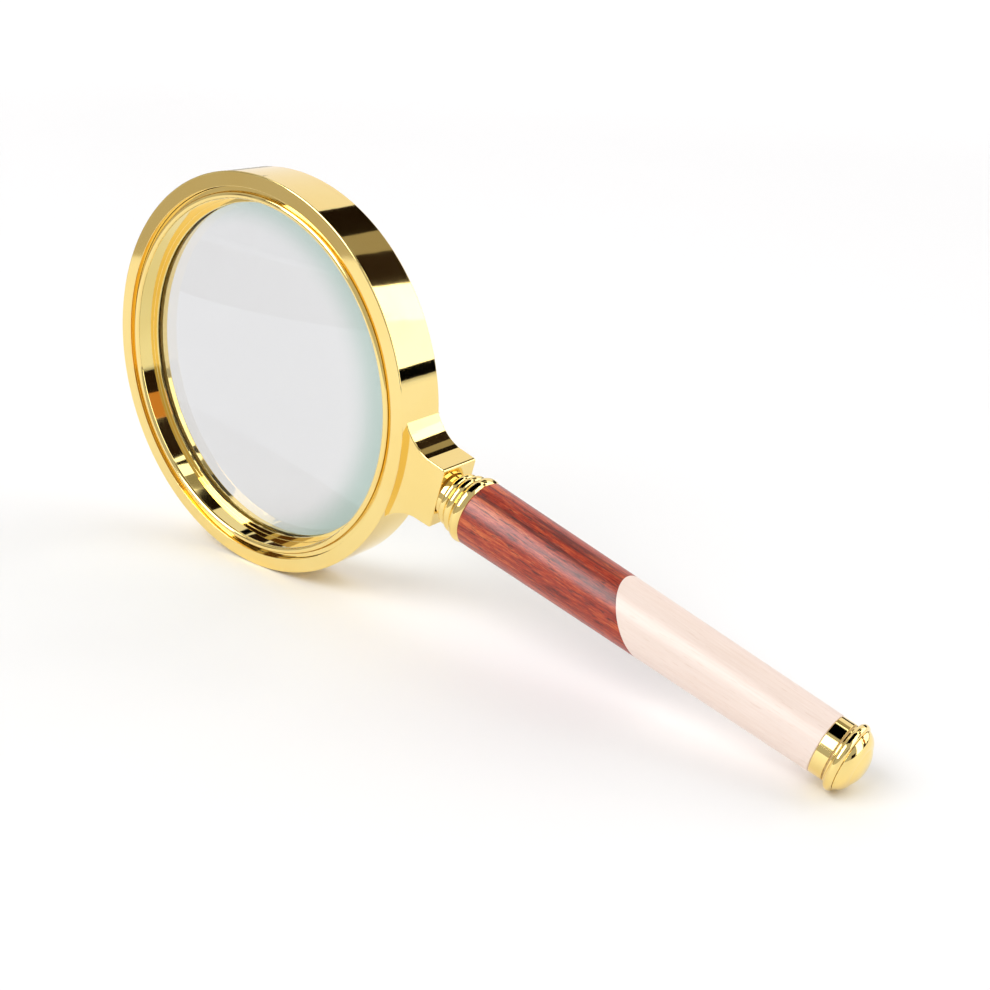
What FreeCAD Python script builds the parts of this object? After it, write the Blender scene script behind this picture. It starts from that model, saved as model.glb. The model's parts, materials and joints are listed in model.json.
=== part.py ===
"""A hand magnifying glass: a gold rim with a screwed-in lens, and a two-wood handle on a tie rod.

The parts are drawn in the glass's own frame, in millimetres.  Its origin is the centre of the rim,
X runs along the handle, Y runs through the lens from front to back, and Z runs up in the plane of
the rim.  Every part then gets the same placement, which stands the glass on the edge of its rim and
on the flange of its end cap, with the handle sloping down.
"""
import FreeCAD, Part
import math
import os
import re

import Sketcher

V = FreeCAD.Vector
doc = FreeCAD.newDocument("magnifying_glass")

# ------------------------------------------------------------------ driving dimensions
# Stations named *_y lie on the lens axis and stations named *_x lie on the handle's axis.
DIMENSIONS = [
    # the rim
    ("rim_radius", 50.0),
    ("half_depth", 6.4),
    ("rim_bevel", 0.35),
    ("back_bore", 42.0),
    ("back_round", 1.3),
    ("rim_thread", 46.4),
    ("thread_floor_y", -0.35),
    ("seat_bore", 45.3),
    # the lens and the two rings that it is held between
    ("lens_radius", 45.0),
    ("land_radius", 43.7),
    ("lens_front_y", -0.1),
    ("lens_back_y", 2.2),
    ("lens_curve", 270.0),
    ("seat_y", 2.7),
    ("washer_outer", 45.1),
    # the retaining ring
    ("ring_bore", 43.5),
    ("bead_outer", 45.2),
    ("bead_foot_y", -5.0),
    ("lip_bore", 42.2),
    ("lip_front_y", -1.1),
    ("ring_back_y", -0.6),
    ("ring_pitch", 1.0),
    ("ring_thread_depth", 0.4),
    # what every screw thread here leaves between its two crests
    ("thread_gap", 0.08),
    # the neck
    ("flare_angle", 15.0),
    ("flare_curve", 12.0),
    ("flare_end_x", 56.2),
    ("flare_end_half", 7.9),
    ("neck_end_x", 61.6),
    ("neck_half", 7.7),
    ("neck_edge", 0.7),
    ("neck_front_y", -4.9),
    ("bush_radius", 3.5),
    ("bush_length", 10.0),
    # the tie rod and its pitch
    ("rod_radius", 2.5),
    ("rod_core", 2.1),
    ("rod_pitch", 0.8),
    ("rod_front_x", 52.6),
    ("rod_end_x", 168.6),
    ("rod_hole", 2.6),
    # the ferrule in front of the wood
    ("washer_thick", 0.4),
    ("washer_radius", 4.8),
    ("ferrule_waist", 5.4),
    ("bead_one_x", 63.3),
    ("bead_one", 6.65),
    ("bead_one_foot", 5.75),
    ("bead_two_x", 65.3),
    ("bead_two", 7.35),
    ("bead_two_foot", 6.5),
    ("bead_three_x", 67.6),
    ("bead_three", 8.2),
    # the wood
    ("wood_front_x", 70.5),
    ("wood_front", 7.85),
    ("wood_end_x", 161.7),
    ("wood_end", 6.5),
    ("wood_edge", 0.3),
    ("splice_x", 115.3),
    ("splice_tilt", 38.0),
    ("insert_radius", 4.5),
    ("insert_length", 11.5),
    # the collar and the end cap
    ("collar_radius", 6.4),
    ("collar_end_x", 164.6),
    ("flange_x", 166.4),
    ("flange_radius", 7.5),
    ("flange_foot", 6.3),
    ("dome_foot", 6.5),
    ("dome_foot_x", 167.85),
    ("dome_shoulder_x", 169.4),
    ("dome_shoulder", 4.1),
    ("dome_curve", 4.5),
    ("tip_curve", 6.5),
    ("cap_tip_x", 170.6),
    ("cap_hole_x", 169.0),
]

sheet = doc.addObject("Spreadsheet::Sheet", "dims")
for row, (alias, size) in enumerate(DIMENSIONS, start=1):
    sheet.set(f"A{row}", alias)
    sheet.set(f"B{row}", str(size))
    sheet.setAlias(f"B{row}", alias)
doc.recompute()
ALIASES = {alias for alias, size in DIMENSIONS}


def bound(text):
    """The expression text with each alias pointing at the spreadsheet."""
    return re.sub(r"[a-z][a-z_]*", lambda word: "dims." * (word.group() in ALIASES) + word.group(), text)


def value(text):
    """What an expression comes to now."""
    return float(sheet.evalExpression(bound(text)))


# The glass leans until the flange's lowest point is level with the rim's.
TILT = ("asin(rim_radius / hypot(flange_x; flange_radius))"
        " - atan(flange_radius / flange_x)")
CENTRE_X = f"(rim_radius - cap_tip_x * cos({TILT})) / 2"


# ------------------------------------------------------------------ helpers
def new_body(label):
    """An empty body that stands where every part of the glass stands."""
    body = doc.addObject("PartDesign::Body", label)
    body.Label = label
    body.Placement = FreeCAD.Placement(V(0, 0, 0), FreeCAD.Rotation(V(0, 1, 0), 1))
    body.setExpression(".Placement.Rotation.Angle", bound(TILT))
    body.setExpression(".Placement.Base.x", bound(CENTRE_X))
    body.setExpression(".Placement.Base.z", bound("rim_radius"))
    return body


def new_sketch(body, name, plane="XY_Plane"):
    """An empty sketch on one of the body's own origin planes."""
    sketch = body.newObject("Sketcher::SketchObject", name)
    face = next(item for item in body.Origin.OriginFeatures if item.Role == plane)
    sketch.AttachmentSupport = [(face, "")]
    sketch.MapMode = "FlatFace"
    return sketch


def arc_between(start, end, radius, side):
    """The short arc from start to end that bulges to the left (side 1) or the right (side -1)."""
    chord = end - start
    left = V(-chord.y, chord.x, 0).normalize()
    height = math.sqrt(radius ** 2 - chord.Length ** 2 / 4)
    centre = (start + end) / 2 - left * (height * side)
    first, last = (end, start) if side > 0 else (start, end)
    angles = [math.atan2(point.y - centre.y, point.x - centre.x) for point in (first, last)]
    if angles[1] < angles[0]:
        angles[1] += 2 * math.pi
    return Part.ArcOfCircle(Part.Circle(centre, V(0, 0, 1), radius), *angles)


def draw(sketch, corners, swap=False):
    """Draw a closed outline.  Each corner is (x, y), or (x, y, radius, side) where an arc leaves it.

    All four are texts or numbers worked out from the spreadsheet.  With swap, the outline is given
    as (along the axis, radius) for an axis that is the sketch's vertical one.
    """
    order = (1, 0) if swap else (0, 1)
    texts = [[bound(str(corner[k])) for k in order] for corner in corners]
    points = [V(*(float(sheet.evalExpression(text)) for text in pair), 0) for pair in texts]
    ends = []
    for index, corner in enumerate(corners):
        start, end = points[index], points[(index + 1) % len(points)]
        if len(corner) == 2:
            sketch.addGeometry(Part.LineSegment(start, end))
            ends.append((1, 2))
            continue
        side = -corner[3] if swap else corner[3]
        sketch.addGeometry(arc_between(start, end, value(str(corner[2])), side))
        ends.append((2, 1) if side > 0 else (1, 2))
    for index, corner in enumerate(corners):
        after = (index + 1) % len(corners)
        sketch.addConstraint(
            Sketcher.Constraint("Coincident", index, ends[index][1], after, ends[after][0]))
        for kind, text, number in zip(("DistanceX", "DistanceY"), texts[index], points[index]):
            rule = sketch.addConstraint(
                Sketcher.Constraint(kind, -1, 1, index, ends[index][0], number))
            sketch.setExpression(f"Constraints[{rule}]", text)
        if len(corner) > 2:
            rule = sketch.addConstraint(Sketcher.Constraint("Radius", index, value(str(corner[2]))))
            sketch.setExpression(f"Constraints[{rule}]", bound(str(corner[2])))


def turn(body, name, corners, axis="X", cut=False):
    """Turn an outline of (along, radius) corners about the handle's axis or the lens's, Y."""
    sketch = new_sketch(body, name + "_profile")
    draw(sketch, corners, swap=axis == "Y")
    feature = body.newObject("PartDesign::Groove" if cut else "PartDesign::Revolution", name)
    feature.Profile = sketch
    feature.ReferenceAxis = (sketch, ["H_Axis" if axis == "X" else "V_Axis"])
    feature.Angle = 360
    return feature


def teeth(start, crest, root, pitch, count, step=1):
    """The corners of `count` V grooves, one pitch apart, from start in the direction of step."""
    corners = []
    for turn_number in range(count):
        first = f"{start} + {step} * {pitch} * {turn_number + 0.1:.1f}"
        middle = f"{start} + {step} * {pitch} * {turn_number + 0.5:.1f}"
        last = f"{start} + {step} * {pitch} * {turn_number + 0.9:.1f}"
        corners += [(first, crest), (middle, root), (last, crest)]
    return corners


def tube(body, name, start, end, inner, outer, axis="X"):
    """A plain ring or tube."""
    return turn(body, name, [(start, inner), (end, inner), (end, outer), (start, outer)], axis)


# ------------------------------------------------------------------ the rim and what it holds
def make_lens_rim():
    body = new_body("lens_rim")
    thread_root = "rim_thread + ring_thread_depth"
    front_bevel = ("-half_depth + rim_bevel", "rim_radius")
    back_bevel = ("half_depth - rim_bevel", "rim_radius")
    turn(body, "rim_turning", [
        ("-half_depth", "rim_thread"),
        *teeth("bead_foot_y", "rim_thread", thread_root, "ring_pitch", 4),
        ("thread_floor_y", "rim_thread"),
        ("thread_floor_y", "seat_bore"),
        ("seat_y", "seat_bore"),
        ("seat_y", "back_bore"),
        ("half_depth - back_round", "back_bore", "back_round", -1),
        ("half_depth", "back_bore + back_round"),
        ("half_depth", "rim_radius - rim_bevel"),
        back_bevel,
        front_bevel,
        ("-half_depth", "rim_radius - rim_bevel"),
    ], axis="Y")


def make_lens():
    """A glass with two equal convex faces inside a narrow flat land."""
    body = new_body("lens")
    drop = "(lens_curve - sqrt(lens_curve ^ 2 - land_radius ^ 2))"
    turn(body, "lens_grinding", [
        (f"lens_front_y - {drop}", 0),
        (f"lens_back_y + {drop}", 0, "lens_curve", -1),
        ("lens_back_y", "land_radius"),
        ("lens_back_y", "lens_radius"),
        ("lens_front_y", "lens_radius"),
        ("lens_front_y", "land_radius", "lens_curve", -1),
    ], axis="Y")


def make_rear_gasket():
    tube(new_body("rear_gasket"), "gasket_ring", "lens_back_y", "seat_y", "land_radius",
         "washer_outer", axis="Y")


def make_slip_washer():
    tube(new_body("slip_washer"), "slip_ring", "ring_back_y", "lens_front_y", "land_radius",
         "washer_outer", axis="Y")


def make_retaining_ring():
    body = new_body("retaining_ring")
    crest = "rim_thread - thread_gap"
    root = "rim_thread - thread_gap - ring_thread_depth"
    bead_radius = "(bead_outer - ring_bore) / 2"
    bead_centre = "(bead_outer + ring_bore) / 2"
    turn(body, "ring_turning", [
        (f"-half_depth + {bead_radius}", "bead_outer"),
        ("bead_foot_y", "bead_outer"),
        ("bead_foot_y", crest),
        *teeth("bead_foot_y", crest, root, "ring_pitch", 4),
        ("ring_back_y", crest),
        ("ring_back_y", "lip_bore"),
        ("lip_front_y", "lip_bore"),
        ("lip_front_y", "ring_bore"),
        (f"-half_depth + {bead_radius}", "ring_bore", bead_radius, 1),
        ("-half_depth", bead_centre, bead_radius, 1),
    ], axis="Y")


# ------------------------------------------------------------------ the neck
def make_neck_bracket():
    """A block that flares out of the rim's wall and narrows to a square end, bored for its bush."""
    body = new_body("neck_bracket")
    sketch = new_sketch(body, "neck_outline", "XZ_Plane")

    def on_circle(radius, angle):
        return f"{radius} * cos({angle})", f"{radius} * sin({angle})"

    upper = [
        (*on_circle("rim_radius", "flare_angle"), "flare_curve", -1),
        ("flare_end_x", "flare_end_half"),
        ("neck_end_x - neck_edge", "neck_half", "neck_edge", 1),
        ("neck_end_x", "neck_half - neck_edge"),
    ]
    lower = [
        ("neck_end_x", "neck_edge - neck_half", "neck_edge", 1),
        ("neck_end_x - neck_edge", "-neck_half"),
        ("flare_end_x", "-flare_end_half", "flare_curve", -1),
        (*on_circle("rim_radius", "-flare_angle"), "rim_radius", -1),
    ]
    draw(sketch, upper + lower)
    block = body.newObject("PartDesign::Pad", "neck_block")
    block.Profile = sketch
    block.SideType = "Two sides"
    block.setExpression("Length", bound("-neck_front_y"))
    block.setExpression("Length2", bound("half_depth"))
    turn(body, "bush_bore", [
        ("neck_end_x - bush_length", 0),
        ("neck_end_x", 0),
        ("neck_end_x", "bush_radius"),
        ("neck_end_x - bush_length", "bush_radius"),
    ], cut=True)


def make_neck_bush():
    body = new_body("neck_bush")
    bore = "rod_radius + thread_gap"
    root = "rod_radius + thread_gap + rod_radius - rod_core"
    turn(body, "bush_turning", [
        ("neck_end_x - bush_length", "bush_radius"),
        ("neck_end_x - bush_length", bore),
        *teeth("neck_end_x - bush_length", bore, root, "rod_pitch", 12),
        ("neck_end_x", bore),
        ("neck_end_x", "bush_radius"),
    ])


def make_neck_washer():
    tube(new_body("neck_washer"), "neck_washer_ring", "neck_end_x", "neck_end_x + washer_thick",
         "rod_hole", "washer_radius")


# ------------------------------------------------------------------ the handle
def make_tie_rod():
    """One rod, threaded at both ends, from the neck bush to the end cap."""
    body = new_body("tie_rod")
    front = teeth("rod_front_x + 0.4", "rod_radius", "rod_core", "rod_pitch", 11)
    rear = teeth("rod_end_x - 12.4", "rod_radius", "rod_core", "rod_pitch", 15)
    turn(body, "rod_turning", [
        ("rod_front_x", 0),
        ("rod_front_x", "rod_core"),
        ("rod_front_x + 0.4", "rod_radius"),
        *front,
        *rear,
        ("rod_end_x - 0.4", "rod_radius"),
        ("rod_end_x", "rod_core"),
        ("rod_end_x", 0),
    ])


def bead(foot_x, foot, crest, end_x, end):
    """Two arcs that rise from one groove to the level crown of a bead and fall to the next groove."""
    half = f"(({end_x}) - ({foot_x})) / 2"

    def crown_radius(level):
        rise = f"(({crest}) - ({level}))"
        return f"(({half}) ^ 2 + {rise} ^ 2) / (2 * {rise})"

    return [
        (foot_x, foot, crown_radius(foot), 1),
        (f"({foot_x}) + {half}", crest, crown_radius(end), 1),
        (end_x, end),
    ]


def make_ferrule():
    """Three rounded beads that grow towards the wood, after a narrow waist."""
    body = new_body("ferrule")
    turn(body, "ferrule_turning", [
        ("neck_end_x + washer_thick", "rod_hole"),
        ("neck_end_x + washer_thick", "ferrule_waist"),
        *bead("bead_one_x", "ferrule_waist", "bead_one", "bead_two_x", "bead_one_foot")[:2],
        *bead("bead_two_x", "bead_one_foot", "bead_two", "bead_three_x", "bead_two_foot")[:2],
        *bead("bead_three_x", "bead_two_foot", "bead_three", "wood_front_x", "wood_front - wood_edge"),
        ("wood_front_x", "rod_hole"),
    ])


def insert(label, start, end):
    """A brass tube, glued into one end of the wood, that grips the tie rod."""
    tube(new_body(label), label + "_tube", start, end, "rod_radius", "insert_radius")


def handle_blank(body, name):
    """The tapered blank of both woods, bored right through and counterbored for its inserts."""
    turn(body, name, [
        ("wood_front_x", "insert_radius"),
        ("wood_front_x", "wood_front - wood_edge"),
        ("wood_front_x + wood_edge", "wood_front"),
        ("wood_end_x - wood_edge", "wood_end"),
        ("wood_end_x", "wood_end - wood_edge"),
        ("wood_end_x", "insert_radius"),
        ("wood_end_x - insert_length", "insert_radius"),
        ("wood_end_x - insert_length", "rod_hole"),
        ("wood_front_x + insert_length", "rod_hole"),
        ("wood_front_x + insert_length", "insert_radius"),
    ])


def saw_off(body, name, far_x):
    """Saw the blank along the slanted splice and take away the piece on the far_x side."""
    reach = "(2 * wood_front)"
    shift = f"{reach} * tan(splice_tilt)"
    sketch = new_sketch(body, name + "_line", "XZ_Plane")
    draw(sketch, [
        (f"splice_x - {shift}", reach),
        (f"splice_x + {shift}", f"-{reach}"),
        (far_x, f"-{reach}"),
        (far_x, reach),
    ])
    cut = body.newObject("PartDesign::Pocket", name)
    cut.Profile = sketch
    cut.SideType = "Symmetric"
    cut.Type = "Length"
    cut.setExpression("Length", bound("4 * wood_front"))


def make_handle_front():
    body = new_body("handle_front")
    handle_blank(body, "front_blank")
    saw_off(body, "front_splice", "wood_end_x + 10")


def make_handle_rear():
    body = new_body("handle_rear")
    handle_blank(body, "rear_blank")
    saw_off(body, "rear_splice", "wood_front_x - 10")


# ------------------------------------------------------------------ the end of the handle
def make_rear_collar():
    tube(new_body("rear_collar"), "collar_tube", "wood_end_x", "collar_end_x", "rod_hole",
         "collar_radius")


def make_cap_washer():
    tube(new_body("cap_washer"), "cap_washer_ring", "collar_end_x", "collar_end_x + washer_thick",
         "rod_hole", "dome_foot - 0.3")


def make_end_cap():
    """A round flange and a gently pointed dome, with a blind threaded hole for the rod."""
    body = new_body("end_cap")
    bore = "rod_radius + thread_gap"
    root = "rod_radius + thread_gap + rod_radius - rod_core"
    face_x = "collar_end_x + washer_thick"
    turn(body, "cap_turning", [
        *bead(face_x, "dome_foot", "flange_radius", f"2 * flange_x - ({face_x})", "flange_foot"),
        ("dome_foot_x", "flange_foot"),
        ("dome_foot_x", "dome_foot", "dome_curve", 1),
        ("dome_shoulder_x", "dome_shoulder", "tip_curve", 1),
        ("cap_tip_x", 0),
        ("cap_hole_x", 0),
        ("cap_hole_x", bore),
        *reversed(teeth(face_x, bore, root, "rod_pitch", 5)),
        (face_x, bore),
    ])


make_lens_rim()
make_lens()
make_rear_gasket()
make_slip_washer()
make_retaining_ring()
make_neck_bracket()
make_neck_bush()
make_neck_washer()
make_tie_rod()
make_ferrule()
insert("front_insert", "wood_front_x", "wood_front_x + insert_length")
insert("rear_insert", "wood_end_x - insert_length", "wood_end_x")
make_handle_front()
make_handle_rear()
make_rear_collar()
make_cap_washer()
make_end_cap()
doc.recompute()

# ------------------------------------------------------------------ check and write
bodies = [item for item in doc.Objects if item.TypeId == "PartDesign::Body"]
faults = [item.Label for item in doc.Objects if {"Invalid", "Error"} & set(item.State)]
faults += [body.Label for body in bodies if body.Shape.isNull() or not body.Shape.isValid()]
if faults:
    raise RuntimeError("these did not build: " + ", ".join(faults))

os.makedirs("parts", exist_ok=True)
box = FreeCAD.BoundBox()
for body in bodies:
    body.Shape.exportStep(f"parts/{body.Label}.step")
    box.add(body.Shape.BoundBox)
    print(f"{body.Label:16s} solids {len(body.Shape.Solids)}  volume {body.Shape.Volume:10.2f} mm3")
print(f"tilt {value(TILT):.3f} degrees")
print(f"box X {box.XMin:.2f} {box.XMax:.2f}  Y {box.YMin:.2f} {box.YMax:.2f}  Z {box.ZMin:.2f} {box.ZMax:.2f}")
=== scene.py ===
# %% [markdown]
# # A hand magnifying glass
# The working parts arrive already measured: every rod, ring and thread has its true size and its
# joint.  This lesson dresses them.  It turns the polished metal again with eased edges, grinds the
# lens, shapes the two woods, and gives every piece the finish that a maker would give it.

# %% Load the working parts
import json
import math

import bpy
from mathutils import Matrix, Vector


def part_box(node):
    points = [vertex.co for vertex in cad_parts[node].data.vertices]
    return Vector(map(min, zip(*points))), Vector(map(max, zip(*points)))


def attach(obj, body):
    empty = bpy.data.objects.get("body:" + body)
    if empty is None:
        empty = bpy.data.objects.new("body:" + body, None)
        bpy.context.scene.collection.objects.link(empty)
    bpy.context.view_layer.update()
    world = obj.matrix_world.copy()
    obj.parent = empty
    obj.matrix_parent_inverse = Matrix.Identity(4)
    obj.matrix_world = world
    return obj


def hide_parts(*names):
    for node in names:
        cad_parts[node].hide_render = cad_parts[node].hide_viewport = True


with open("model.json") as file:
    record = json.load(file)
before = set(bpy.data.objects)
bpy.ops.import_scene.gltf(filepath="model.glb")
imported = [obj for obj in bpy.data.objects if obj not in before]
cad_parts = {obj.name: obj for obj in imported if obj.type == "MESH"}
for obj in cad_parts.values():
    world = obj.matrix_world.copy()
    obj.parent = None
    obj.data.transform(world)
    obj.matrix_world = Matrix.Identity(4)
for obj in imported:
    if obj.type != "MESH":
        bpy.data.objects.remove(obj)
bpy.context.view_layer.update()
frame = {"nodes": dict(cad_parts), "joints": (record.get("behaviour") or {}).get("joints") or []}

MM = 0.001
print("working parts:", ", ".join(sorted(frame["nodes"])))

# %% [markdown]
# The glass stands on the edge of its rim and on the flange of its end cap, so it leans.  Shapes are
# far easier to draw in the glass's own frame: the centre of the rim is the origin, X runs down the
# handle, Y goes through the lens and Z is up in the plane of the rim.  The rim's box gives the
# centre and the handle's joint gives the lean.

# %% The glass's own frame
rim_low, rim_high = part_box("lens_rim")
rim_centre = (rim_low + rim_high) / 2
rim_radius = (rim_high.x - rim_low.x) / 2
handle_axis = next(Vector(j["axis"]) for j in frame["joints"] if j["name"] == "handle_travel")
lean = math.atan2(-handle_axis.z, handle_axis.x)
GLASS = Matrix.Translation(rim_centre) @ Matrix.Rotation(lean, 4, "Y")
print(f"rim radius {rim_radius / MM:.1f} mm, lean {math.degrees(lean):.2f} degrees")

# %% [markdown]
# The camera looks down at the glass from its front right, from a little over three rims away, and
# tips sideways by a few degrees, as a hand-held view does.  Its place is given in rim radii, in the
# glass's own frame, so it follows the glass if that ever leans more or less.

# %% Camera
eye = GLASS @ (Vector((4.185, -4.467, 3.137)) * rim_radius)
target = GLASS @ (Vector((1.460, 0.0, 0.129)) * rim_radius)
ahead = (target - eye).normalized()
level = ahead.cross(Vector((0, 0, 1))).normalized()
TIP = math.radians(2.57)
right = level * math.cos(TIP) + level.cross(ahead) * math.sin(TIP)
up = right.cross(ahead)
camera = bpy.data.objects.new("camera", bpy.data.cameras.new("camera"))
camera.data.lens = 49.3
camera.data.sensor_width = 36.0
camera.data.clip_start = 0.01
camera.data.clip_end = 100.0
camera.matrix_world = Matrix.Translation(eye) @ Matrix((right, up, -ahead)).transposed().to_4x4()
bpy.context.scene.collection.objects.link(camera)
bpy.context.scene.camera = camera
print("camera at", [round(c, 4) for c in eye])

# %% [markdown]
# A finish is a little drawing made of nodes.  Written one call at a time it is hard to read, so two
# small classes do the wiring.  A Wire holds one output, and sums and products on it add Math nodes,
# so that 1 - mask * 0.5 means what it says.  A Finish owns the material: every other node comes
# from its node method, which sets the node's settings first and then feeds its sockets.

# %% Wire and Finish
class Wire:
    """One output of a node.  Arithmetic on it adds Math nodes."""

    def __init__(self, finish, socket):
        self.finish, self.socket = finish, socket

    def __add__(self, other):
        return self.finish.math("ADD", self, other)

    def __rsub__(self, other):
        return self.finish.math("SUBTRACT", other, self)

    def __mul__(self, other):
        return self.finish.math("MULTIPLY", self, other)

    __radd__, __rmul__ = __add__, __mul__


class Finish:
    """A material, drawn as nodes."""

    def __init__(self, name):
        self.material = bpy.data.materials.new(name)
        self.material.use_nodes = True
        self.nodes = self.material.node_tree.nodes
        self.links = self.material.node_tree.links
        self.nodes.clear()

    def feed(self, socket, value):
        """Links a wire to the socket, or sets the socket to a number, a colour or a vector."""
        if isinstance(value, Wire):
            self.links.new(value.socket, socket)
        elif socket.type == "RGBA" and len(value) == 3:
            socket.default_value = (*value, 1.0)
        else:
            socket.default_value = value

    def node(self, kind, settings=(), sockets=(), out=0):
        """A node with its settings, then its sockets; gives back one output as a Wire."""
        made = self.nodes.new("ShaderNode" + kind)
        for name, value in dict(settings).items():
            if name == "stops":
                ramp = made.color_ramp.elements
                while len(ramp) < len(value):
                    ramp.new(0.5)
                for stop, (place, colour) in zip(ramp, value):
                    stop.position = place
                for stop, (place, colour) in zip(ramp, value):
                    stop.color = (*colour, 1.0)
            else:
                setattr(made, name, value)
        for name, value in dict(sockets).items():
            self.feed(made.inputs[name], value)
        return Wire(self, made.outputs[out])

    def math(self, operation, *values):
        """A Math node on numbers or wires."""
        return self.node("Math", {"operation": operation}, dict(enumerate(values)))

    def vector(self, operation, *values):
        """A Vector Math node on triples or wires."""
        return self.node("VectorMath", {"operation": operation}, dict(enumerate(values)))

    def mix(self, factor, first, second):
        """Colours blended by factor.  Inputs 6 and 7 of the node are its two colours."""
        return self.node("Mix", {"data_type": "RGBA"}, {0: factor, 6: first, 7: second}, out=2)

    def place(self, stretch=(1, 1, 1), shift=(0, 0, 0)):
        """Where a point is on the piece, in metres, in the glass's own frame, stretched."""
        own = self.node("Mapping", {"vector_type": "TEXTURE"}, {
            "Vector": self.node("TexCoord", out="Object"), "Location": rim_centre,
            "Rotation": (0.0, lean, 0.0)})
        return self.vector("ADD", self.vector("MULTIPLY", own, stretch), shift)

    def noise(self, where, scale, detail=2.0, roughness=0.5, distortion=0.0):
        """Smooth noise, from 0 to 1."""
        return self.node("TexNoise", {}, {
            "Vector": where, "Scale": scale, "Detail": detail, "Roughness": roughness,
            "Distortion": distortion})

    def ramp(self, value, stops):
        """Colours between stops of (place, colour)."""
        return self.node("ValToRGB", {"stops": stops}, {"Fac": value})

    def step(self, value, start, end):
        """0 below start, 1 above end, and smooth between them."""
        return self.node("MapRange", {"interpolation_type": "SMOOTHSTEP"},
                         {"Value": value, "From Min": start, "From Max": end})

    def bump(self, height, distance):
        """The normal of a surface that rises by height times distance, in metres."""
        return self.node("Bump", {}, {"Height": height, "Distance": distance, "Strength": 1.0})

    def finish(self, shader):
        """Wires the shader to the surface and gives back the material."""
        out = self.nodes.new("ShaderNodeOutputMaterial")
        self.links.new(shader.socket, out.inputs["Surface"])
        print("finish:", self.material.name, len(self.nodes), "nodes")
        return self.material


# %% [markdown]
# The metal is brass, buffed to a mirror and plated with gold.  A perfect mirror looks like a
# computer's idea of gold, so three things break it up: a very low wave left by the buffing wheel,
# which makes the edges of reflections wander; patches where the polish is a little softer; and
# hair-fine rub marks.  All three are small, and none changes the colour much.

# %% Gold plate
def gold_plate(tint, least_rough):
    """Gold of that tint, no smoother than least_rough."""
    gold = Finish("gold_plate")
    where = gold.place()
    patches = gold.noise(where, 60.0, 3.0)
    rubs = gold.noise(gold.place((900.0, 260.0, 900.0)), 1.0, 3.0, 0.7)
    rough = patches * 0.05 + rubs * 0.03 + least_rough
    deeper = tuple(c * k for c, k in zip(tint, (0.99, 0.965, 0.90)))
    colour = gold.mix(gold.step(patches, 0.35, 0.7), tint, deeper)
    wave = gold.noise(where, 95.0, 1.0)
    hairs = gold.noise(gold.place((2600.0, 700.0, 2600.0)), 1.0, 2.0)
    normal = gold.bump(wave + hairs * 0.02, 0.00002)
    return gold.finish(gold.node("BsdfPrincipled", {}, {
        "Base Color": colour, "Metallic": 1.0, "Roughness": rough, "Normal": normal}))


GOLD = gold_plate((0.93, 0.725, 0.29), 0.01)

# %% [markdown]
# Rosewood is a deep orange red with nearly black streaks, and its pores are short dark dashes that
# all run along the grain.  The noise is squeezed along the handle, so that one wandering pattern
# becomes long fibres.  The maple behind it is the opposite: close, pale and nearly even.  Both have
# a satin varnish, which is the coat: the wood below scatters and the varnish gives the gloss.

# %% Rosewood and maple
def rosewood():
    """Orange red, streaked and pored with near black."""
    wood = Finish("rosewood")
    bands = wood.noise(wood.place((13.0, 230.0, 230.0), (3.1, 0.4, 1.7)), 1.0, 4.0, 0.6, 0.7)
    fibres = wood.noise(wood.place((190.0, 2000.0, 2000.0)), 1.0, 4.0, 0.8)
    pores = wood.noise(wood.place((300.0, 3000.0, 3000.0)), 1.0, 2.0, 0.6)
    streak = wood.noise(wood.place((9.0, 170.0, 170.0), (4.4, 8.1, 3.3)), 1.0, 3.0, 0.5, 0.8)
    colour = wood.ramp(bands * 0.5 + fibres * 0.5, [
        (0.36, (0.060, 0.005, 0.003)), (0.44, (0.190, 0.015, 0.006)),
        (0.52, (0.420, 0.038, 0.010)), (0.64, (0.680, 0.150, 0.035))])
    dark_streak = wood.step(streak, 0.57, 0.66)
    colour = wood.mix(dark_streak * 0.7, colour, (0.060, 0.006, 0.004))
    pore = wood.step(pores, 0.57, 0.66)
    colour = wood.mix(pore * 0.75, colour, (0.05, 0.008, 0.005))
    normal = wood.bump(1 - pore * 0.7 + fibres * 0.4, 0.00003)
    return wood.finish(wood.node("BsdfPrincipled", {}, {
        "Base Color": colour, "Roughness": fibres * 0.2 + 0.32, "Normal": normal,
        "Specular IOR Level": 0.35, "Coat Weight": 0.4, "Coat Roughness": 0.27}))


def maple():
    """Pale, close and nearly even, with a few tan flecks."""
    wood = Finish("maple")
    bands = wood.noise(wood.place((10.0, 150.0, 150.0), (1.3, 5.4, 2.7)), 1.0, 3.0, 0.5, 0.4)
    fibres = wood.noise(wood.place((110.0, 2100.0, 2100.0)), 1.0, 4.0, 0.7)
    flecks = wood.noise(wood.place((260.0, 2600.0, 2600.0)), 1.0, 1.0)
    colour = wood.ramp(bands * 0.5 + fibres * 0.5, [
        (0.30, (0.855, 0.680, 0.580)), (0.50, (0.915, 0.760, 0.672)),
        (0.70, (0.950, 0.815, 0.742))])
    fleck = wood.step(flecks, 0.64, 0.74)
    colour = wood.mix(fleck * 0.22, colour, (0.66, 0.44, 0.31))
    normal = wood.bump(fibres * 0.4 + (1 - fleck) * 0.3, 0.000015)
    return wood.finish(wood.node("BsdfPrincipled", {}, {
        "Base Color": colour, "Roughness": fibres * 0.15 + 0.34, "Normal": normal,
        "Specular IOR Level": 0.35, "Coat Weight": 0.2, "Coat Roughness": 0.25}))


ROSEWOOD = rosewood()
MAPLE = maple()

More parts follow.
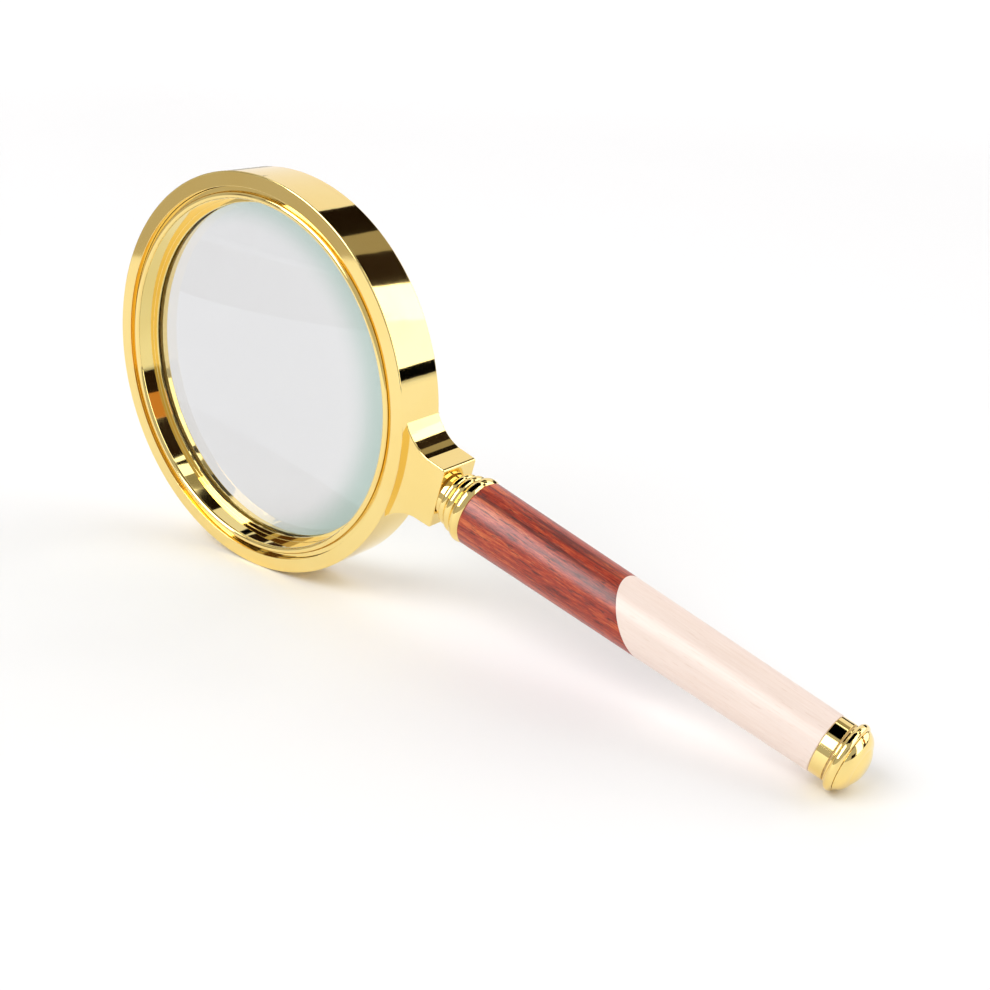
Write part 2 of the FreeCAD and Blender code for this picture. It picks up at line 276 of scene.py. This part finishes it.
# %% [markdown]
# The lens is polished glass, faintly grey, with a sea-green edge tint.  The tint is set off-centre,
# so along the part of its edge that faces up and towards the handle it is a painted reflection as
# well.
# What the eye sees through it is bent by real refraction.  Lamp rays, and rays that have already
# bounced off the metal, go straight through instead: a renderer would otherwise throw a solid shadow
# under the lens and fill the mirror of the ring with noise.

# %% Lens glass
def lens_glass():
    """Clear glass with faint smears; its off-centre green edge tint paints a reflection on one side.
    """
    glass = Finish("lens_glass")
    smears = glass.noise(glass.place(), 42.0, 3.0, 0.6, 0.5)
    # Painted reflection: the circle of green edge tint is off-centre, so it is widest up and towards
    # the handle.
    off_centre = glass.vector("MULTIPLY", glass.place((1, 1, 1), (0.0075, 0.0, 0.0035)), (1, 0, 1))
    reach = glass.node("VectorMath", {"operation": "LENGTH"}, {0: off_centre}, out="Value")
    edge_tint_and_painted_reflection = glass.step(reach, 0.036, 0.0455)
    colour = glass.mix(edge_tint_and_painted_reflection, (0.74, 0.745, 0.755), (0.44, 0.56, 0.515))
    body = glass.node("BsdfPrincipled", {}, {
        "Base Color": colour, "Roughness": glass.step(smears, 0.5, 0.8) * 0.01,
        "IOR": 1.52, "Transmission Weight": 1.0})
    clear = glass.node("BsdfTransparent", {}, {"Color": (0.93, 0.95, 0.945)})
    seen = glass.math("MAXIMUM", glass.node("LightPath", out="Is Camera Ray"),
                      glass.node("LightPath", out="Is Transmission Ray"))
    return glass.finish(glass.node("MixShader", {}, {0: seen, 1: clear, 2: body}))


LENS_GLASS = lens_glass()

# %% [markdown]
# Inside, nothing is plated.  The bush and the inserts are bare turned brass, dulled by handling and
# grooved by the tool; the rod is bright steel; the washers are tan fibre, and a black rubber gasket
# beds the lens.  They show only when something is unscrewed, but then they should look like this.

# %% Inside finishes
def turned_metal(name, tint, dull, roughness):
    """Bare metal with the fine rings of the lathe tool, stained here and there."""
    metal = Finish(name)
    rings = metal.noise(metal.place((5200.0, 30.0, 30.0)), 1.0, 2.0)
    stain = metal.step(metal.noise(metal.place(), 260.0, 4.0, 0.6), 0.45, 0.75)
    colour = metal.mix(stain * 0.6, tint, dull)
    normal = metal.bump(rings, 0.000006)
    return metal.finish(metal.node("BsdfPrincipled", {}, {
        "Base Color": colour, "Metallic": 1.0, "Normal": normal,
        "Roughness": rings * 0.12 + stain * 0.12 + roughness}))


def soft_ring(name, light, dark, roughness, scale):
    """A matt, grainy washer or gasket."""
    ring = Finish(name)
    grain = ring.noise(ring.place(), scale, 5.0, 0.7)
    colour = ring.mix(ring.step(grain, 0.35, 0.65), dark, light)
    return ring.finish(ring.node("BsdfPrincipled", {}, {
        "Base Color": colour, "Roughness": grain * 0.2 + roughness,
        "Normal": ring.bump(grain, 0.00003)}))


BRASS = turned_metal("bare_brass", (0.86, 0.66, 0.33), (0.52, 0.36, 0.15), 0.24)
STEEL = turned_metal("steel_rod", (0.66, 0.66, 0.68), (0.40, 0.39, 0.38), 0.20)
RUBBER = soft_ring("gasket_rubber", (0.035, 0.035, 0.036), (0.018, 0.018, 0.019), 0.6, 900.0)
FIBRE = soft_ring("fibre_washer", (0.60, 0.42, 0.17), (0.46, 0.30, 0.11), 0.6, 1500.0)
kept = {"neck_bush": BRASS, "front_insert": BRASS, "rear_insert": BRASS, "tie_rod": STEEL,
        "rear_gasket": RUBBER, "slip_washer": FIBRE, "neck_washer": FIBRE, "cap_washer": FIBRE}
for node, material in kept.items():
    for slot in frame["nodes"][node].material_slots:
        slot.material = material

# %% [markdown]
# A mirror shows every wrong normal.  Blender's smooth shading averages the normals at a corner, so a
# flat wall next to a tiny rounded edge picks up a false curve right across.  Each surface here
# therefore states its own exact normals: a Skin collects faces along with the normal at every
# corner, welds the shared points, and hands both to the mesh.

# %% Skin
class Skin:
    """Faces with an exact normal at each corner."""

    def __init__(self):
        self.points, self.found, self.faces, self.normals = [], {}, [], []

    def face(self, corners):
        """corners are (point, normal) pairs in millimetres, seen anticlockwise from outside."""
        face, normals = [], []
        for point, normal in corners:
            key = tuple(round(c, 5) for c in point)
            if key not in self.found:
                self.found[key] = len(self.points)
                self.points.append([c * MM for c in point])
            if self.found[key] not in face:
                face.append(self.found[key])
                normals.append(normal)
        if len(face) > 2:
            self.faces.append(face)
            self.normals += normals

    def piece(self, name, body, slot, material, *nodes):
        """The finished object, riding on its body in place of the CAD nodes."""
        mesh = bpy.data.meshes.new(name)
        mesh.from_pydata([GLASS @ Vector(point) for point in self.points], [], self.faces)
        mesh.polygons.foreach_set("use_smooth", [True] * len(self.faces))
        turn = GLASS.to_3x3()
        mesh.normals_split_custom_set([(turn @ Vector(n)).normalized() for n in self.normals])
        mesh.materials.append(material)
        made = bpy.data.objects.new(name, mesh)
        bpy.context.scene.collection.objects.link(made)
        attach(made, body)
        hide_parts(*nodes)
        print(f"{name}: {len(self.faces)} faces")
        return made


# %% [markdown]
# Nearly every metal part is turned on a lathe, so nearly every shape here is an outline spun round
# an axis.  An outline is a ring of corners, each (along the axis, radius) in millimetres.  A third
# number makes the edge that leaves the corner an arc of that radius: positive bulges to the left
# of travel.  A fourth is how much the corner itself is eased, if it isn't the outline's usual
# amount, because no real edge is perfectly sharp and its thin highlight is what makes metal read
# as metal.

# %% Outlines
STRAIGHT = 0.06       # a corner that turns by less than this many radians is left alone
SHARPEST = 2.8        # and one that turns by more is eased as if it turned by this
LEAVE = 0.45          # the share of an edge that the easing of one corner may use up
ARC_STEP = 0.05       # radians to a step along an arc
CORNER_STEP = 0.26    # radians to a step round an eased corner
ON_AXIS = 1e-6        # a radius this small, in millimetres, is a point on the axis


class Edge:
    """One straight or curved edge of an outline, which can be shortened at both ends."""

    def __init__(self, start, end, curve=0.0):
        chord = end - start
        self.start, self.end, self.curve = start, end, curve
        self.length = chord.length
        if curve:
            left = Vector((-chord.y, chord.x)).normalized()
            side = math.copysign(1.0, curve)
            rise = math.sqrt(max(curve ** 2 - chord.length_squared / 4, 0.0))
            self.centre = (start + end) / 2 - left * rise * side
            self.first = math.atan2(*reversed(start - self.centre))
            self.sweep = 2 * math.asin(min(chord.length / 2 / abs(curve), 1.0)) * -side
            self.length = abs(self.sweep * curve)

    def at(self, share):
        """The point and the direction of travel, share of the way along."""
        if not self.curve:
            return self.start.lerp(self.end, share), (self.end - self.start).normalized()
        angle = self.first + self.sweep * share
        arm = Vector((math.cos(angle), math.sin(angle)))
        turn = math.copysign(1.0, self.sweep)
        return self.centre + arm * abs(self.curve), Vector((-arm.y, arm.x)) * turn


def eased(corners, ease, closed=True):
    """The outline as steps: (point, direction, next point, next direction), corners rounded."""
    filled = [(*corner, 0.0, ease)[:4] if len(corner) == 2 else (*corner, ease)[:4]
              for corner in corners]
    count = len(filled) if closed else len(filled) - 1
    places = [Vector(corner[:2]) for corner in filled]
    edges = [Edge(places[i], places[(i + 1) % len(filled)], filled[i][2]) for i in range(count)]
    trims, steps = [[0.0, 1.0] for _ in edges], []
    for i in range(count if closed else count - 1):
        j = (i + 1) % count
        before, after = edges[i].at(1.0)[1], edges[j].at(0.0)[1]
        bend = before.angle(after, 0.0)
        if bend < STRAIGHT or closed and places[j].y <= ON_AXIS:
            continue
        back = filled[j][3] * math.tan(min(bend, SHARPEST) / 2)
        back = min(back, LEAVE * edges[i].length, LEAVE * edges[j].length)
        trims[i][1] = 1 - back / edges[i].length
        trims[j][0] = back / edges[j].length
    for i, edge in enumerate(edges):
        low, high = trims[i]
        parts = max(1, math.ceil(abs(edge.sweep) * (high - low) / ARC_STEP)) if edge.curve else 1
        marks = [edge.at(low + (high - low) * k / parts) for k in range(parts + 1)]
        steps += [(*a, *b) for a, b in zip(marks, marks[1:])]
        j = (i + 1) % len(edges)
        if not closed and i == len(edges) - 1 or high == 1.0:
            continue
        (a, ta), (b, tb) = edge.at(high), edges[j].at(trims[j][0])
        bend = ta.angle(tb, 0.0)
        parts = max(2, math.ceil(bend / CORNER_STEP))
        reach = (b - a).length / (2 * math.sin(bend / 2)) * 4 / 3 * math.tan(bend / 4)
        handle_a, handle_b = a + ta * reach, b - tb * reach
        marks = []
        for k in range(parts + 1):
            t = k / parts
            point = (a * (1 - t) ** 3 + handle_a * (3 * t * (1 - t) ** 2)
                     + handle_b * (3 * t ** 2 * (1 - t)) + b * t ** 3)
            marks.append((point, ta.slerp(tb, t) if k not in (0, parts) else (ta, tb)[k > 0]))
        steps += [(*a, *b) for a, b in zip(marks, marks[1:])]
    return steps


def spun(corners, axis="X", ease=0.12, turns=288):
    """A Skin of the closed outline spun round the handle's axis or the lens's."""
    steps = eased(corners, ease)
    area = sum(a.x * b.y - b.x * a.y for a, _, b, _ in steps)
    out = 1.0 if area > 0 else -1.0
    skin = Skin()
    spokes = [(math.cos(2 * math.pi * k / turns), math.sin(2 * math.pi * k / turns))
              for k in range(turns)]
    spokes.append(spokes[0])

    def spin(point, way, spoke):
        outward = Vector((way.y, -way.x)) * out
        (c, s), (x, r), (nx, nr) = spoke, point, outward
        if axis == "X":
            return (x, r * c, r * s), (nx, nr * c, nr * s)
        return (r * s, x, r * c), (nr * s, nx, nr * c)

    for a, way_a, b, way_b in steps:
        for here, there in zip(spokes, spokes[1:]):
            ring = [spin(a, way_a, here), spin(b, way_b, here),
                    spin(b, way_b, there), spin(a, way_a, there)]
            skin.face(ring if out > 0 else ring[::-1])
    return skin


def grooves(start, crest, root, pitch, count):
    """The corners of count V grooves of a thread, one pitch apart."""
    return [(start + pitch * (n + part), level, 0.0, 0.03) for n in range(count)
            for part, level in ((0.1, crest), (0.5, root), (0.9, crest))]


# %% [markdown]
# The rim is a deep hoop.  Its wall is the widest mirror on the glass, flat from front to back with
# both edges just broken, so a thin bright line follows each.  Behind it turns inwards to a rounded
# mouth; inside it has the thread that the front ring screws into and the seat of the lens.

# %% Rim
RIM = rim_radius / MM
HALF_DEPTH = 6.4
spun([
    (-HALF_DEPTH, 46.4), *grooves(-5.0, 46.4, 46.8, 1.0, 4), (-0.35, 46.4), (-0.35, 45.3),
    (2.7, 45.3), (2.7, 42.0), (5.1, 42.0, -1.3), (HALF_DEPTH, 43.3), (HALF_DEPTH, RIM, 0.0, 0.35),
    (-HALF_DEPTH, RIM, 0.0, 0.35),
], axis="Y", ease=0.1, turns=432).piece("polished_rim", "frame", "gold_plate", GOLD, "lens_rim")

# %% [markdown]
# The front ring holds the lens in.  It has a full round bead at the mouth, a straight bore behind
# it that the eye sees as a bright inner wall, and a thin lip that laps over the edge of the lens.

# %% Front ring
spun([
    (-5.55, 45.2), (-5.0, 45.2), (-5.0, 46.32), *grooves(-5.0, 46.32, 45.92, 1.0, 4),
    (-0.6, 46.32), (-0.6, 42.2), (-1.1, 42.2), (-1.1, 43.5), (-5.55, 43.5, 0.85),
    (-HALF_DEPTH, 44.35, 0.85),
], axis="Y", ease=0.12, turns=432).piece("polished_ring", "ring", "gold_plate", GOLD,
                                         "retaining_ring")

# %% [markdown]
# The lens is ground to one long curve on each side, with a narrow flat land at its edge, where the
# ring and the gasket press.

# %% Lens
CURVE, LAND, LENS_EDGE = 270.0, 43.7, 44.98
FRONT, BACK = -0.09, 2.19
rise = CURVE - math.sqrt(CURVE ** 2 - LAND ** 2)
spun([
    (FRONT - rise, 0.0), (BACK + rise, 0.0, -CURVE), (BACK, LAND), (BACK, LENS_EDGE),
    (FRONT, LENS_EDGE), (FRONT, LAND, -CURVE),
], axis="Y", ease=0.15, turns=288).piece("ground_lens", "frame", "lens_glass", LENS_GLASS, "lens")

# %% [markdown]
# The ferrule steps up from a narrow waist to the wood in three round beads, each larger than the
# last, like a turned table leg.  A crest is given by where it stands and how high it rises, and the
# two arcs on its sides follow from that.

# %% Ferrule
def bead(foot_x, foot, crest, end_x, end):
    """Corners from one foot over a level crest, up to the next foot."""
    half = (end_x - foot_x) / 2
    curves = [(half ** 2 + (crest - level) ** 2) / (2 * (crest - level)) for level in (foot, end)]
    return [(foot_x, foot, curves[0], 0.05), (foot_x + half, crest, curves[1], 0.0)]


spun([
    (62.0, 2.6), (62.0, 5.4), *bead(63.3, 5.4, 6.65, 65.3, 5.75),
    *bead(65.3, 5.75, 7.35, 67.6, 6.5), *bead(67.6, 6.5, 8.2, 70.5, 7.55),
    (70.48, 7.55), (70.48, 2.6),
], ease=0.08, turns=192).piece("beaded_ferrule", "handle", "gold_plate", GOLD, "ferrule")

# %% [markdown]
# The collar behind the wood is a short plain tube.  The end cap has a round flange, a thin quirk,
# and a dome that comes to a soft point; its blind hole is threaded for the rod.

# %% Collar and cap
spun([(161.72, 2.6), (161.72, 6.4), (164.6, 6.4), (164.6, 2.6)], ease=0.08, turns=160).piece(
    "end_collar", "handle", "gold_plate", GOLD, "rear_collar")
spun([
    *bead(165.3, 6.55, 7.5, 167.3, 6.5), (167.3, 6.5), (167.35, 6.5), (167.35, 6.75, 3.8, 0.05),
    (169.5, 4.2, 6.5, 0.6), (170.6, 0.0), (169.0, 0.0), (169.0, 2.58),
    *reversed(grooves(165.0, 2.58, 2.98, 0.8, 5)), (165.0, 2.58), (165.0, 6.5), (165.3, 6.5),
], ease=0.08, turns=192).piece("domed_cap", "cap", "gold_plate", GOLD, "end_cap")

# %% [markdown]
# The handle is one tapered blank of two woods.  Their joint is sawn at a slant, so it shows as a
# long oval.  The taper is straight, so where each line along the handle meets the slanted plane can
# be worked out exactly, and the two halves meet without a gap.

# %% Wood
WOOD_FRONT, WOOD_END = 70.5, 161.7
THICK, THIN = 7.85, 6.5
TAPER = (THIN - THICK) / (WOOD_END - WOOD_FRONT)
SPLICE = 115.3
SLANT = math.radians(38.0)
ROD_HOLE, INSERT_HOLE, INSERT_DEEP = 2.6, 4.5, 11.5
BEVEL, JOINT_BEVEL = 0.3, 0.06


def wood_radius(x):
    """The outside radius of the handle at x."""
    share = (x - WOOD_FRONT) / (WOOD_END - WOOD_FRONT)
    return THICK + (THIN - THICK) * share


def splice_x(height, fall=0.0):
    """Where a line meets the saw cut, if it stands height + fall * x above the axis."""
    rise = math.tan(SLANT)
    return (SPLICE - rise * height) / (1 + rise * fall)


def grip(name, material, node, front):
    """One half of the handle, from its ferrule or collar end to the saw cut."""
    base = THICK - TAPER * WOOD_FRONT
    plane = Vector((math.cos(SLANT), 0, math.sin(SLANT)))
    end_x = WOOD_FRONT if front else WOOD_END
    way = 1.0 if front else -1.0
    insert_end = end_x + way * INSERT_DEEP
    skin, turns, lengths = Skin(), 192, 24
    for k in range(turns):
        columns = []
        for j in (k, k + 1):
            angle = 2 * math.pi * (j % turns) / turns
            c, s = math.cos(angle), math.sin(angle)
            lean_out = Vector((-TAPER, c, s)).normalized()
            inward = Vector((0, -c, -s))
            face = Vector((-way, 0, 0))
            start_x = end_x + way * BEVEL
            cut = splice_x(base * s, TAPER * s)
            joint_radius = wood_radius(cut) - JOINT_BEVEL
            rows = [
                ((end_x, INSERT_HOLE), face), ((end_x, wood_radius(end_x) - BEVEL), face),
                ((end_x, wood_radius(end_x) - BEVEL), face),
                ((start_x, wood_radius(start_x)), lean_out),
            ]
            for n in range(1, lengths + 1):
                x = start_x + (cut - way * JOINT_BEVEL - start_x) * n / lengths
                rows.append(((x, wood_radius(x)), lean_out))
            rows += [
                ((splice_x(joint_radius * s), joint_radius), plane * way),
                ((splice_x(ROD_HOLE * s), ROD_HOLE), plane * way),
                ((splice_x(ROD_HOLE * s), ROD_HOLE), inward),
                ((insert_end, ROD_HOLE), inward), ((insert_end, ROD_HOLE), face),
                ((insert_end, INSERT_HOLE), face), ((insert_end, INSERT_HOLE), inward),
                ((end_x, INSERT_HOLE), inward),
            ]
            columns.append([((x, r * c, r * s), normal) for (x, r), normal in rows])
        for n in range(len(columns[0]) - 1):
            quad = [columns[0][n], columns[0][n + 1], columns[1][n + 1], columns[1][n]]
            skin.face(quad[::-1] if front else quad)
    slot = "rosewood" if front else "maple"
    return skin.piece(name, "handle", slot, material, node)


grip("rosewood_grip", ROSEWOOD, "handle_front", True)
grip("maple_grip", MAPLE, "handle_rear", False)

# %% [markdown]
# The neck isn't turned.  It is a block cut from flat bar that flares out of the rim's wall in two
# hollow curves and ends square.  It is drawn as an outline in the plane of the rim, carried through
# its depth with both long edges eased, and closed with a flat face front and back.  The end is
# bored for its brass bush, so its end face has a round hole in it.

# %% Neck
def neck():
    """The neck block, open only inside the rim's wall, with the bush's hole in its end."""
    flare, hollow, sunk = math.radians(15.0), 12.0, 0.4
    shoulder_x, shoulder, end_x, end = 56.2, 7.9, 61.6, 7.7
    foot = ((RIM - sunk) * math.cos(flare), (RIM - sunk) * math.sin(flare) + 0.05)
    hip = (RIM * math.cos(flare), RIM * math.sin(flare))
    outline = eased([
        (foot[0], -foot[1]), (hip[0], -hip[1], hollow, 0.02), (shoulder_x, -shoulder, 0.0, 0.3),
        (end_x, -end, 0.0, 0.7), (end_x, end, 0.0, 0.7), (shoulder_x, shoulder, hollow, 0.3),
        (hip[0], hip[1], 0.0, 0.02), foot,
    ], 0.1, closed=False)
    front, back, ease = -4.9, HALF_DEPTH, 0.3
    skin, arcs = Skin(), 5
    profile = []
    for k in range(arcs + 1):
        t = math.pi / 2 * k / arcs
        profile.append((1 - math.sin(t), front + ease * (1 - math.cos(t)),
                        (math.sin(t), -math.cos(t))))
    for k in range(arcs + 1):
        t = math.pi / 2 * k / arcs
        profile.append((1 - math.cos(t), back - ease * (1 - math.sin(t)),
                        (math.cos(t), math.sin(t))))

    def corner(point, way, row):
        """A point of the outline carried to one row of the profile, and the normal there."""
        inset, y, (out, along) = row
        normal = Vector((way.y, -way.x))
        place = point - normal * ease * inset
        return (place.x, y, place.y), (normal.x * out, along, normal.y * out)

    end_loop = []
    for a, way_a, b, way_b in outline:
        is_end = min(a.x, b.x) > end_x - 0.01 and (b - a).length > end / 2
        for n, (row, following) in enumerate(zip(profile, profile[1:])):
            if is_end and n == arcs:
                end_loop = [corner(a, way_a, row)[0], corner(b, way_b, row)[0],
                            corner(b, way_b, following)[0], corner(a, way_a, following)[0]]
                continue
            skin.face([corner(a, way_a, row), corner(a, way_a, following),
                       corner(b, way_b, following), corner(b, way_b, row)])
    for row, along in ((profile[0], -1), (profile[-1], 1)):
        loop = [corner(a, way_a, row)[0] for a, way_a, _, _ in outline]
        loop.append(corner(*outline[-1][2:], row)[0])
        loop = [(p, (0, along, 0)) for p in loop]
        skin.face(loop[::-1] if along > 0 else loop)
    hole, hole_end, spokes = 3.5, 51.6, 64
    turns = [2 * math.pi * k / spokes for k in range(spokes)]
    ring = [(end_x, hole * math.cos(turn), hole * math.sin(turn)) for turn in turns]
    square = end_square(end_loop, ring)
    ahead_face = (1, 0, 0)
    for k in range(spokes):
        j = (k + 1) % spokes
        skin.face([(ring[k], ahead_face), (square[k], ahead_face), (square[j], ahead_face),
                   (ring[j], ahead_face)])
        inward = [(0, -p[1], -p[2]) for p in (ring[k], ring[j])]
        skin.face([((hole_end, *ring[k][1:]), inward[0]), (ring[k], inward[0]),
                   (ring[j], inward[1]), ((hole_end, *ring[j][1:]), inward[1])])
    skin.face([((hole_end, y, z), ahead_face) for _, y, z in ring])
    return skin.piece("polished_neck", "frame", "gold_plate", GOLD, "neck_bracket")


def end_square(loop, ring):
    """The point on the rectangle's edge that lies straight out from each point of the ring."""
    low = [min(p[k] for p in loop) for k in (1, 2)]
    high = [max(p[k] for p in loop) for k in (1, 2)]
    level, endless = 1e-9, 1e9
    found = []
    for x, y, z in ring:
        reach_y = (high[0] if y > 0 else low[0]) / y if abs(y) > level else endless
        reach_z = (high[1] if z > 0 else low[1]) / z if abs(z) > level else endless
        reach = min(reach_y, reach_z)
        found.append([x, y * reach, z * reach])
    for y in (low[0], high[0]):
        for z in (low[1], high[1]):
            nearest = min(found, key=lambda p: (p[1] - y) ** 2 + (p[2] - z) ** 2)
            nearest[1:] = [y, z]
    return [tuple(p) for p in found]


neck()

# %% [markdown]
# The glass stands on a round sheet of white paper.  The paper fades out well away from the glass,
# so neither its edge nor a horizon shows.

# %% Floor
FLOOR_RADIUS, FLOOR_SIDES = 2.6, 96
FADE_START, FADE_END = 0.7, 2.5


def fading_paper(colour):
    """White paper that fades out between two distances, so that no edge of it shows."""
    paper = Finish("pale_paper")
    where = paper.place()
    shade = paper.mix(paper.noise(where, 3.0, 3.0), colour, tuple(c * 0.99 for c in colour))
    sheet = paper.node("BsdfPrincipled", {}, {
        "Base Color": shade, "Roughness": 0.6, "Specular IOR Level": 0.2})
    distance = paper.node("VectorMath", {"operation": "LENGTH"}, {0: where}, out="Value")
    return paper.finish(paper.node("MixShader", {}, {
        0: paper.step(distance, FADE_START, FADE_END), 1: sheet,
        2: paper.node("BsdfTransparent")}))


floor_mesh = bpy.data.meshes.new("floor")
spread = [2 * math.pi * k / FLOOR_SIDES for k in range(FLOOR_SIDES)]
spread = [(FLOOR_RADIUS * math.cos(a), FLOOR_RADIUS * math.sin(a), 0) for a in spread]
floor_mesh.from_pydata(spread, [], [list(range(FLOOR_SIDES))])
floor_mesh.materials.append(fading_paper((0.945, 0.945, 0.945)))
floor = bpy.data.objects.new("floor", floor_mesh)
bpy.context.scene.collection.objects.link(floor)

# %% [markdown]
# Polished metal has no colour of its own to show, only what stands round it.  So the studio is a
# large softbox high at the front left, bright walls behind, and many small cards, which matter as
# much as the lamp: the black and brown ones draw the dark bands that give the hoop its shape.  Each
# card is placed by its direction from the rim, in degrees: azimuth 0 is straight in front, and 90
# is to the right, where the handle points.  Nobody sees the cards themselves, and they throw no
# shadow.

# %% Softbox, walls and cards
BROWN, RUST = (1, 0.4, 0.2), (1, 0.5, 0.25)


def card(name, azimuth, elevation, wide, tall, strength, tint=(1, 1, 1), far=6.0, diffuse=True):
    """A glowing or black card that many degrees wide and tall, seen from the glass."""
    a, e = math.radians(azimuth), math.radians(elevation)
    away = Vector((math.sin(a) * math.cos(e), -math.cos(a) * math.cos(e), math.sin(e)))
    side = Vector((math.cos(a), math.sin(a), 0))
    top = away.cross(side) * -1
    half_w, half_t = far * math.tan(math.radians(wide / 2)), far * math.tan(math.radians(tall / 2))
    middle = rim_centre + away * far
    mesh = bpy.data.meshes.new(name)
    mesh.from_pydata([middle + side * half_w * i + top * half_t * j
                      for i, j in ((-1, -1), (1, -1), (1, 1), (-1, 1))], [], [[0, 1, 2, 3]])
    glow = Finish(name)
    mesh.materials.append(glow.finish(glow.node("Emission", {}, {
        "Color": tint, "Strength": strength})))
    made = bpy.data.objects.new(name, mesh)
    bpy.context.scene.collection.objects.link(made)
    made.visible_camera = False
    made.visible_shadow = False
    made.visible_diffuse = diffuse and strength > 0
    return made


card("softbox", -22, 48, 44, 34, 3.9, far=5.0)
card("gloss_card", -20, 41, 32, 40, 7.0, far=4.9, diffuse=False)
card("wall_left", -151, 32, 64, 60, 1.0, (1.0, 0.97, 0.98))
card("wall_right", 145, 32, 46, 58, 2.2, far=6.1)
card("back_light", 146, 28, 10, 17, 3.0, far=4.5)
card("black_ceiling", 180, 84, 60, 46, 0.0, far=4.0)
card("flag_left", -171, 45, 15, 18, 0.01, RUST, far=4.0)
card("grey_flag", 171, 45, 14, 17, 0.35, (1, 0.9, 0.7), far=4.1)
card("flag_right", 157, 40, 12, 15, 0.02, RUST, far=4.0)
card("low_flag", 137, 1.6, 9, 5.0, 0.0, far=4.0)
card("brown_flag_low", 135.5, 31, 10, 13, 0.02, BROWN, far=3.9)
card("brown_flag_high", 139, 41, 10, 9, 0.02, BROWN, far=3.9)
card("warm_card", 128.5, 18, 8, 14, 0.7, (1, 0.40, 0.09), far=3.9)
card("dark_corner", 126, 5.5, 9, 12, 0.02, BROWN, far=3.9)
card("left_flag_high", -136.5, 33, 4, 4, 0.0, far=4.0)
card("left_flag_mid", -132, 24, 5, 12, 0.02, BROWN, far=4.0)
card("left_flag_low", -127.5, 11, 5, 13, 0.04, BROWN, far=4.0)
card("front_flag", -43.5, 32, 9, 18, 0.02, BROWN, far=3.9)
card("front_brown", -50, 12, 7, 13, 0.10, (1, 0.5, 0.2), far=3.9)
# This card paints shade into reflections only: the metal sees a darker floor to the front left,
# while the camera sees the paper evenly lit.
card("painted_floor_shade", -46, -2.6, 70, 8.4, 0.55, (1, 0.92, 0.8), far=0.35, diffuse=False)
card("edge_flag", 180, 2, 28, 20, 0.02, RUST, far=4.0)
card("cap_window", 105, 25, 24, 50, 3.0, far=4.0, diffuse=False)
card("cap_flag", 80, 3, 16, 16, 0.01, BROWN, far=4.0)


# %% [markdown]
# All round the cards it is white.  The eye sees that white at full strength, so the paper and the
# space beyond it are one clean background; the glass and the paper are lit by about half of it, and
# the softbox does the rest.

# %% Surroundings
LIGHT_GIVEN, LIGHT_SEEN = 0.53, 1.05
world = bpy.data.worlds.new("white_walls")
world.use_nodes = True
background = world.node_tree.nodes["Background"]
background.inputs["Color"].default_value = (1, 1, 1, 1)
straight = world.node_tree.nodes.new("ShaderNodeLightPath").outputs["Is Camera Ray"]
strength = world.node_tree.nodes.new("ShaderNodeMapRange")
strength.inputs["To Min"].default_value = LIGHT_GIVEN
strength.inputs["To Max"].default_value = LIGHT_SEEN
world.node_tree.links.new(straight, strength.inputs["Value"])
world.node_tree.links.new(strength.outputs["Result"], background.inputs["Strength"])
bpy.context.scene.world = world
bpy.context.scene.view_settings.view_transform = "Standard"
print("studio lit")

# %% [markdown]
# Last, a line is printed to say that the scene is built.

# %% Finish
print("scene built")
